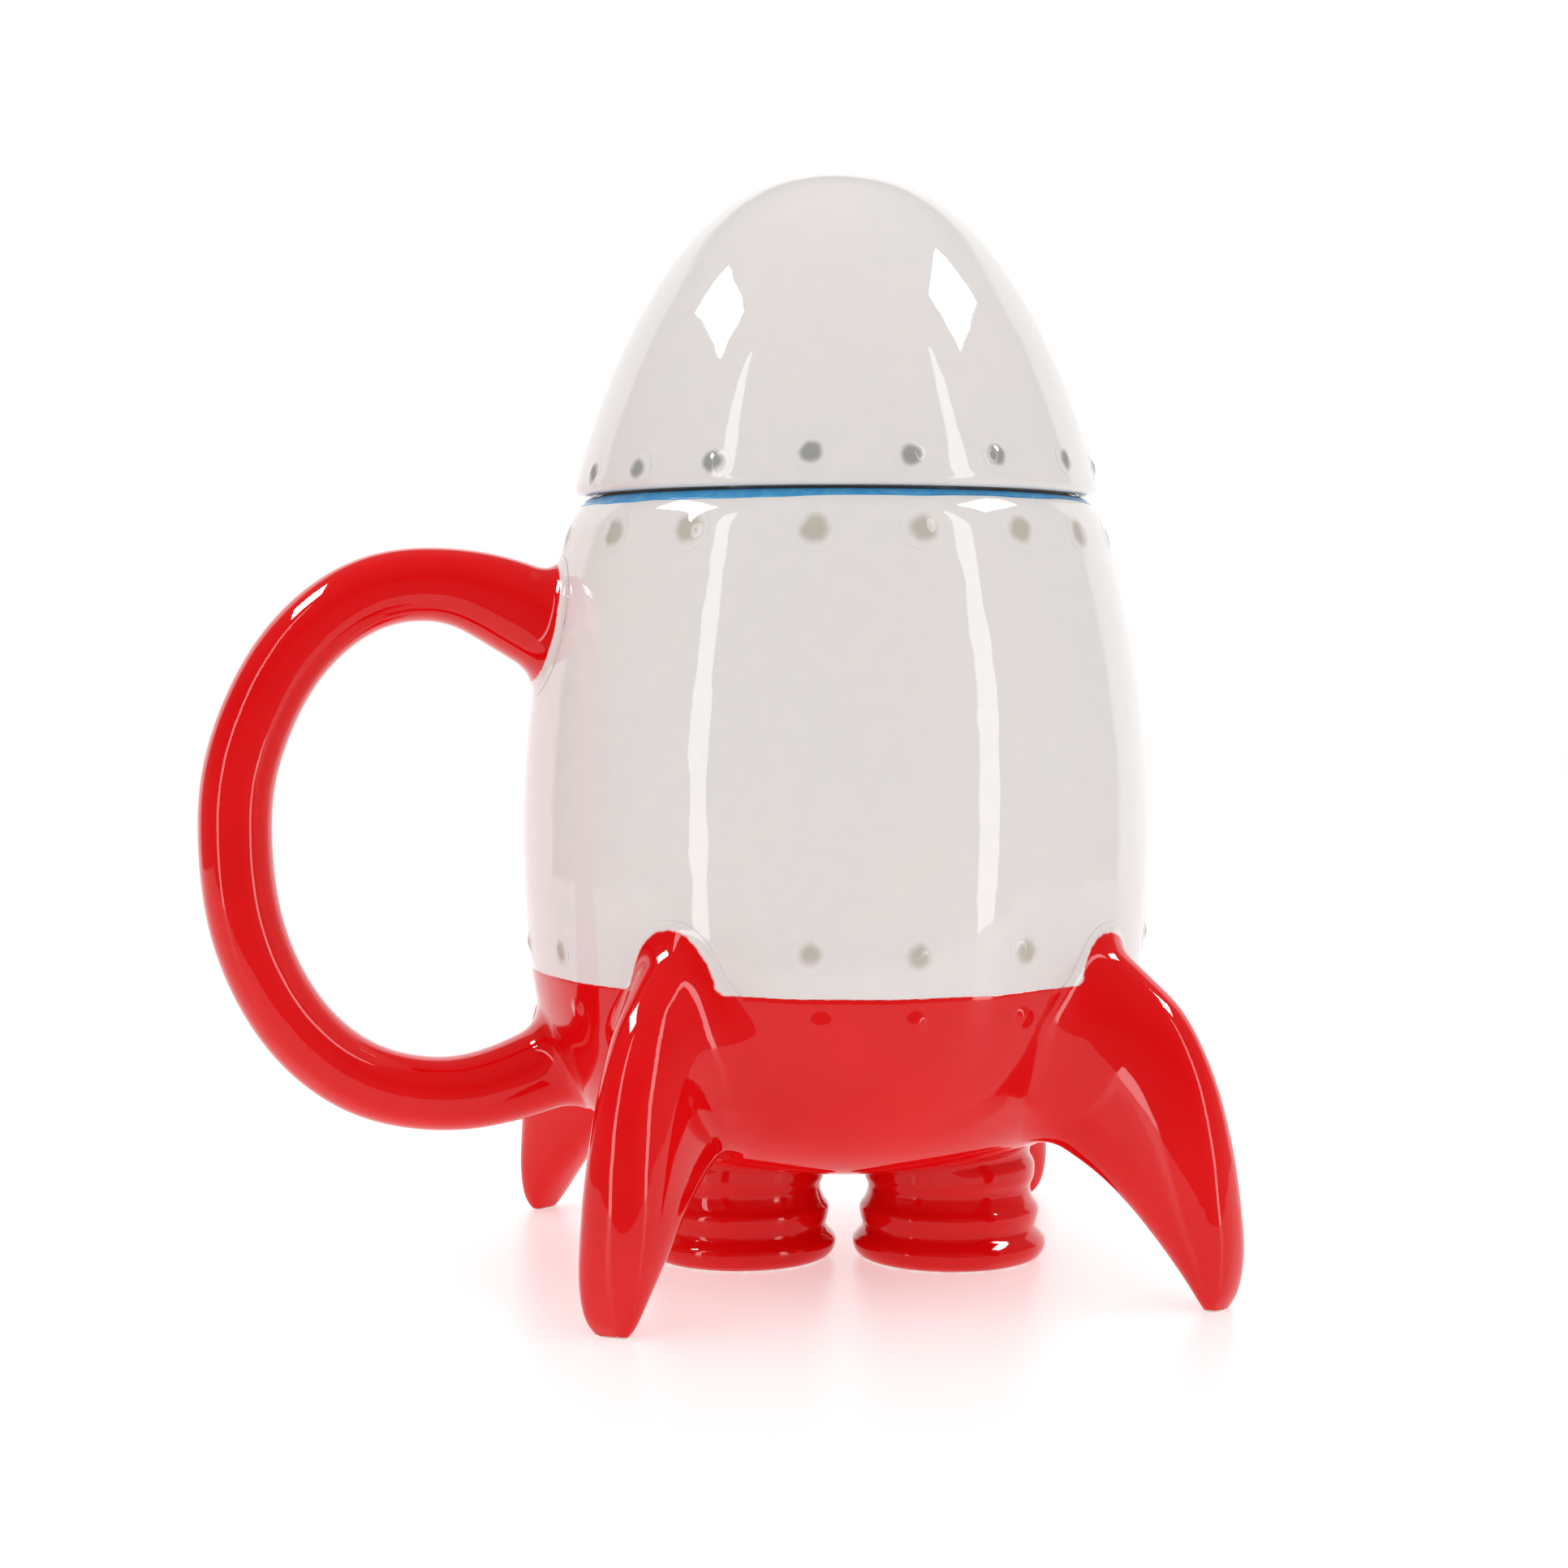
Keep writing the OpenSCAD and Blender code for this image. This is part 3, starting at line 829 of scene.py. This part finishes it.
def colour(r, g, b):
    """A colour given as it looks on a screen, 0 to 255, as the shader's own numbers."""
    shares = [v / 255 for v in (r, g, b)]
    linear = [v / 12.92 if v < 0.0404 else ((v + 0.055) / 1.055) ** 2.4 for v in shares]
    return (*linear, 1.0)


WHITE = colour(240, 234, 231)
BLUE = colour(58, 154, 213)
LID_GREY = colour(150, 150, 146)
CUP_GREY = colour(180, 171, 153)
BISQUE = colour(226, 219, 208)


def maths(tree, operation, a, b=0.0, c=0.0):
    return add(tree, "ShaderNodeMath", {0: a, 1: b, 2: c}, operation=operation).outputs[0]


def ramp(tree, value, low, high):
    """Goes smoothly from 0 at low to 1 at high."""
    made = add(tree, "ShaderNodeMapRange", {"Value": value, "From Min": low, "From Max": high},
               interpolation_type="SMOOTHSTEP")
    return made.outputs["Result"]


def mixed(tree, share, a, b):
    """A colour between a and b. Inputs 6 and 7 of the node are its colours."""
    return add(tree, "ShaderNodeMix", {0: share, 6: a, 7: b}, data_type="RGBA").outputs[2]


def noise(tree, size_mm, detail=2.0, seed=0.0):
    """Soft noise whose lumps are about size_mm across."""
    where = add(tree, "ShaderNodeTexCoord").outputs["Object"]
    moved = add(tree, "ShaderNodeVectorMath", {0: where, 1: (seed, seed * 0.7, seed * 0.3)},
                operation="ADD").outputs[0]
    made = add(tree, "ShaderNodeTexNoise",
               {"Vector": moved, "Scale": 1 / (size_mm * MM), "Detail": detail})
    return made.outputs["Fac"]


def specks(tree, spacing_mm, size_mm, seed):
    """1 in a few tiny spots, 0 elsewhere."""
    where = add(tree, "ShaderNodeTexCoord").outputs["Object"]
    moved = add(tree, "ShaderNodeVectorMath", {0: where, 1: (seed, seed * 0.6, seed * 0.2)},
                operation="ADD").outputs[0]
    cells = add(tree, "ShaderNodeTexVoronoi", {"Vector": moved, "Scale": 1 / (spacing_mm * MM)})
    near = ramp(tree, cells.outputs["Distance"], size_mm / spacing_mm, size_mm / spacing_mm * 0.6)
    some = ramp(tree, add(tree, "ShaderNodeSeparateColor",
                          {0: cells.outputs["Color"]}).outputs[0], 0.62, 0.7)
    return maths(tree, "MULTIPLY", near, some)


def ground_height(tree):
    """Height above the ground, in metres."""
    where = add(tree, "ShaderNodeTexCoord").outputs["Object"]
    return add(tree, "ShaderNodeSeparateXYZ", {0: where}).outputs[2]


def new_material(name):
    material = bpy.data.materials.new(name)
    material.use_nodes = True
    material.node_tree.nodes.clear()
    return material, material.node_tree


def finish_glaze(tree, base_colour, roughness, relief=None):
    """The shared look of the glaze: a glossy coat that pools and wavers a little."""
    swell = maths(tree, "MULTIPLY", noise(tree, 11, 1.0, 0.3), 0.8)
    ripple = maths(tree, "MULTIPLY_ADD", noise(tree, 4.5, 1.0, 1.7), 0.2, swell)
    if relief is not None:
        ripple = maths(tree, "ADD", ripple, relief)
    bump = add(tree, "ShaderNodeBump", {"Strength": 1.0, "Distance": 0.16 * MM, "Height": ripple})
    shader = add(tree, "ShaderNodeBsdfPrincipled",
                 {"Base Color": base_colour, "Roughness": roughness, "Normal": bump.outputs[0]})
    shader.inputs["IOR"].default_value = 1.4
    output = add(tree, "ShaderNodeOutputMaterial")
    tree.links.new(shader.outputs[0], output.inputs["Surface"])


def glaze_gloss(tree):
    """The glaze's roughness, a little uneven."""
    return maths(tree, "MULTIPLY_ADD", noise(tree, 6, 2.0, 2.9), 0.04, 0.015)


def white_colour(tree):
    """White glaze with faint cooler and warmer clouds, and a few tiny dark pinholes."""
    cloudy = ramp(tree, noise(tree, 26, 2.0, 4.1), 0.35, 0.65)
    clouds = mixed(tree, cloudy, WHITE, colour(238, 233, 231))
    fine = mixed(tree, ramp(tree, noise(tree, 3, 3.0, 5.3), 0.3, 0.8), clouds, colour(242, 236, 232))
    return mixed(tree, specks(tree, 7.5, 0.11, 0.9), fine, colour(170, 160, 150))


def red_colour(tree):
    """Red glaze, deeper where it pools and thinner and lighter in the brush's tracks."""
    thin = ramp(tree, noise(tree, 16, 2.0, 6.1), 0.3, 0.7)
    pools = mixed(tree, thin, colour(229, 8, 12), colour(235, 14, 17))
    # Pale pink specks: the glaze's tiny bubbles, with painted glints where light catches them.
    return mixed(tree, specks(tree, 6.0, 0.14, 2.2), pools, colour(245, 110, 100))


def attribute(tree, name):
    return add(tree, "ShaderNodeAttribute", attribute_name=name).outputs["Fac"]


def white_glaze():
    material, tree = new_material("white_glaze")
    finish_glaze(tree, white_colour(tree), glaze_gloss(tree))
    return material


def red_glaze():
    """Red up to the painted edge, with a painted highlight, a fine pale line, where the coat ends,
    and bare clay under the feet."""
    material, tree = new_material("red_glaze")
    waver = maths(tree, "MULTIPLY_ADD", noise(tree, 1.2, 2.0, 3.3), 0.3, -0.15)
    edge = maths(tree, "ADD", attribute(tree, "paint"), waver)
    body = mixed(tree, ramp(tree, edge, -0.06, 0.03), red_colour(tree), white_colour(tree))
    # Painted highlight: a pale pink line along the coat's edge, where its rounded bead would catch
    # the light.
    line = maths(tree, "SUBTRACT", 1.0, ramp(tree, maths(tree, "ABSOLUTE", edge), 0.03, 0.12))
    body = mixed(tree, maths(tree, "MULTIPLY", line, 0.55), body, colour(250, 180, 176))
    rough_edge = maths(tree, "MULTIPLY_ADD", noise(tree, 1.5, 2.0, 7.3), 0.6 * MM, -0.1 * MM)
    bare = ramp(tree, maths(tree, "SUBTRACT", ground_height(tree), rough_edge), 0.1 * MM, -0.1 * MM)
    body = mixed(tree, bare, body, BISQUE)
    gloss = maths(tree, "MULTIPLY_ADD", bare, 0.6, glaze_gloss(tree))
    relief = maths(tree, "MULTIPLY", ramp(tree, edge, 0.1, -0.12), 0.25)
    finish_glaze(tree, body, gloss, relief)
    return material


def blue_glaze():
    """Blue brushed on in uneven strokes, paler where it is thin, with painted shadow along its top.
    """
    material, tree = new_material("blue_glaze")
    strokes = ramp(tree, noise(tree, 2.2, 3.0, 8.2), 0.35, 0.75)
    body = mixed(tree, strokes, BLUE, colour(84, 172, 220))
    # Painted shadow: the band's top 0.3 mm goes dark navy, for the shade in the crevice under the
    # lid's lip.
    crevice_shade = ramp(tree, ground_height(tree), (RIM_Z - 0.35) * MM, (RIM_Z - 0.05) * MM)
    body = mixed(tree, crevice_shade, body, colour(22, 44, 84))
    finish_glaze(tree, body, glaze_gloss(tree))
    return material


def dot_paint(name, tint, softness, strength):
    """Grey paint under the glaze, soft at its edge and cloudy inside."""
    material, tree = new_material(name)
    cloud = maths(tree, "MULTIPLY_ADD", noise(tree, 1.6, 3.0, 9.4), 0.4, -0.2)
    edge = maths(tree, "ADD", attribute(tree, "paint"), cloud)
    thick = ramp(tree, edge, softness, -softness)
    body = mixed(tree, maths(tree, "MULTIPLY", thick, strength), white_colour(tree), tint)
    finish_glaze(tree, body, glaze_gloss(tree))
    return material


# --- Putting the pieces on the frame -------------------------------------------

def stand_for(piece, node, material):
    """Puts a piece on the frame in the place of one CAD node."""
    piece.data.materials.append(material)
    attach(piece, frame["nodes"][node]["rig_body"])
    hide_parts(node)


white = white_glaze()
red = red_glaze()
blue = blue_glaze()
lid_grey = dot_paint("lid_grey_paint", LID_GREY, 0.5, 0.87)
cup_grey = dot_paint("grey_paint", CUP_GREY, 0.75, 0.7)

stand_for(make_cup(), "cup_body", white)
stand_for(make_base_coat(), "base_coat", red)
stand_for(make_rim_band(), "rim_band", blue)
stand_for(make_lid(), "lid_dome", white)
stand_for(make_collar(), "lid_collar", white)
for seed, (node, setting) in enumerate(FINS.items()):
    stand_for(make_fin(node + "_glazed", *setting, 100 + 10 * seed), node, red)
stand_for(make_handle(), "handle", red)
for node, place in NOZZLES.items():
    stand_for(make_nozzle(node + "_glazed", *place), node, red)

lid_dots = make_dots("lid_rivets_painted", lid_profile, LID_DOTS_Z, LID_DOTS, 51,
                     rise=0.34, sag=1.2)
stand_for(lid_dots, "lid_rivets", lid_grey)
upper_dots = make_dots("upper_rivets_painted", cup_profile, UPPER_DOTS_Z, UPPER_DOTS, 52,
                       width=3.6, rise=0.2, paint_r=1.85)
stand_for(upper_dots, "upper_rivets", cup_grey)
lower_dots = make_dots("lower_rivets_painted", cup_profile, LOWER_DOTS_Z, LOWER_DOTS, 53,
                       rise=0.34, paint_r=1.45, sag=1.4)
stand_for(lower_dots, "lower_rivets", cup_grey)
base_dots = make_dots("base_rivets_glazed", cup_profile, BASE_DOTS_Z, BASE_DOTS, 54,
                      lift=COAT, rise=0.4, paint_r=9)
stand_for(base_dots, "base_rivets", red)


# --- Floor, light and camera ---------------------------------------------------

VIEW_TURN = math.radians(-13)
RIGHT = np.array([math.cos(VIEW_TURN), math.sin(VIEW_TURN), 0])
FORWARD = np.array([-math.sin(VIEW_TURN), math.cos(VIEW_TURN), 0])
UP = np.array([0, 0, 1.0])
AXIS = np.array([AXIS_X, 0, 0])

# Where the camera is and what it aims at, to the right, forward and up of the axis.
CAMERA_PLACE, CAMERA_AIM = (-0.09, -425.7, 88.4), (-7.5, 0, 69.1)
CAMERA_LENS, CAMERA_SENSOR = 67.26, 36


def from_axis(right, forward, up):
    """A place given from the rocket's foot as the camera sees it, in mm in the frame."""
    return AXIS + right * RIGHT + forward * FORWARD + up * UP


def make_floor():
    """A pale table top. Its front edge is close to the object, just out of the picture."""
    material, tree = new_material("studio_floor")
    shader = add(tree, "ShaderNodeBsdfPrincipled",
                 {"Base Color": (0.65, 0.65, 0.65, 1), "Roughness": 0.35,
                  "Emission Color": (1, 1, 1, 1), "Emission Strength": 0.46})
    output = add(tree, "ShaderNodeOutputMaterial")
    tree.links.new(shader.outputs[0], output.inputs["Surface"])
    half, front, back = 0.5, -0.18, 3.0
    corners = [(-half, front), (half, front), (half, back), (-half, back)]
    points = [tuple(AXIS * MM + a * RIGHT + b * FORWARD) for a, b in corners]
    mesh = bpy.data.meshes.new("floor")
    mesh.from_pydata(points, [], [(0, 1, 2, 3)])
    mesh.materials.append(material)
    floor = bpy.data.objects.new("floor", mesh)
    bpy.context.scene.collection.objects.link(floor)


def make_camera():
    place, target = from_axis(*CAMERA_PLACE), from_axis(*CAMERA_AIM)
    camera = bpy.data.objects.new("camera", bpy.data.cameras.new("camera"))
    camera.data.lens = CAMERA_LENS
    camera.data.sensor_width = CAMERA_SENSOR
    camera.data.clip_start = 0.01
    camera.location = place * MM
    camera.rotation_mode = "QUATERNION"
    camera.rotation_quaternion = Vector((target - place).tolist()).to_track_quat("-Z", "Y")
    bpy.context.scene.collection.objects.link(camera)
    bpy.context.scene.camera = camera


def make_lamp(name, shape, azimuth, elevation, width, height, radiance, roll):
    """A studio lamp a metre from the object, seen only in the gloss. Its azimuth is from
    the camera's side to the right, in degrees, and its width and height are in metres."""
    a, e = math.radians(azimuth), math.radians(elevation)
    away = (math.sin(a) * RIGHT - math.cos(a) * FORWARD) * math.cos(e) + math.sin(e) * UP
    light = bpy.data.lights.new(name, "AREA")
    light.shape = shape
    light.size, light.size_y = width, height
    light.energy = 4 * width * height * radiance
    lamp = bpy.data.objects.new(name, light)
    target = Vector((AXIS_X * MM, 0, 0.08))
    lamp.location = target + Vector(away.tolist())
    lamp.rotation_mode = "QUATERNION"
    facing = (lamp.location - target).to_track_quat("Z", "Y")
    lamp.rotation_quaternion = facing @ Quaternion((0, 0, 1), math.radians(roll))
    lamp.visible_camera = False
    lamp.visible_diffuse = False
    bpy.context.scene.collection.objects.link(lamp)


def make_world():
    """A white backdrop behind the object, soft light from above, and a room on the camera's
    side that is dark in the gloss."""
    world = bpy.data.worlds.new("studio")
    bpy.context.scene.world = world
    world.use_nodes = True
    tree = world.node_tree
    tree.nodes.clear()
    direction = add(tree, "ShaderNodeTexCoord").outputs["Generated"]
    towards = add(tree, "ShaderNodeVectorMath", {0: direction, 1: tuple((-FORWARD).tolist())},
                  operation="DOT_PRODUCT").outputs["Value"]
    up = add(tree, "ShaderNodeSeparateXYZ", {0: direction}).outputs[2]
    overhead = ramp(tree, up, 0.2, 0.95)
    backdrop = maths(tree, "MULTIPLY", ramp(tree, towards, -0.52, -0.6), ramp(tree, up, 0.62, 0.5))
    path = add(tree, "ShaderNodeLightPath")
    right = add(tree, "ShaderNodeVectorMath", {0: direction, 1: tuple(RIGHT.tolist())},
                operation="DOT_PRODUCT").outputs["Value"]
    room = maths(tree, "MULTIPLY_ADD", ramp(tree, right, 0.3, 0.9), 0.15, 0.1)
    room = maths(tree, "MULTIPLY_ADD", ramp(tree, up, 0.4, 0.0), 0.15, room)
    room = maths(tree, "MULTIPLY_ADD", overhead, 0.15, room)
    mirrored = maths(tree, "ADD", backdrop, room)
    lighting = maths(tree, "MULTIPLY_ADD", backdrop, 0.3, 0.45)
    lighting = maths(tree, "MULTIPLY_ADD", overhead, 0.95, lighting)
    lighting = maths(tree, "MULTIPLY_ADD", ramp(tree, up, 0.0, -0.2), 0.5, lighting)
    level = maths(tree, "MAXIMUM", maths(tree, "MULTIPLY", mirrored, path.outputs["Is Glossy Ray"]),
                  maths(tree, "MULTIPLY", lighting, path.outputs["Is Diffuse Ray"]))
    level = maths(tree, "MAXIMUM", level, path.outputs["Is Camera Ray"])
    background = add(tree, "ShaderNodeBackground", {"Strength": level})
    background.inputs["Color"].default_value = (1, 1, 1, 1)
    output = add(tree, "ShaderNodeOutputWorld")
    tree.links.new(background.outputs[0], output.inputs["Surface"])


make_floor()
make_world()
make_lamp("left_box", "RECTANGLE", -88, 49.3, 0.42, 0.18, 28, 2)
make_lamp("right_box", "RECTANGLE", 94, 50, 0.38, 0.2, 28, 0)
make_lamp("left_strip", "ELLIPSE", -49, 8, 0.13, 1.7, 3.8, 4)
make_lamp("right_strip", "ELLIPSE", 55.5, 8, 0.14, 1.7, 3.8, -4)
make_camera()
bpy.context.scene.view_settings.view_transform = "Standard"
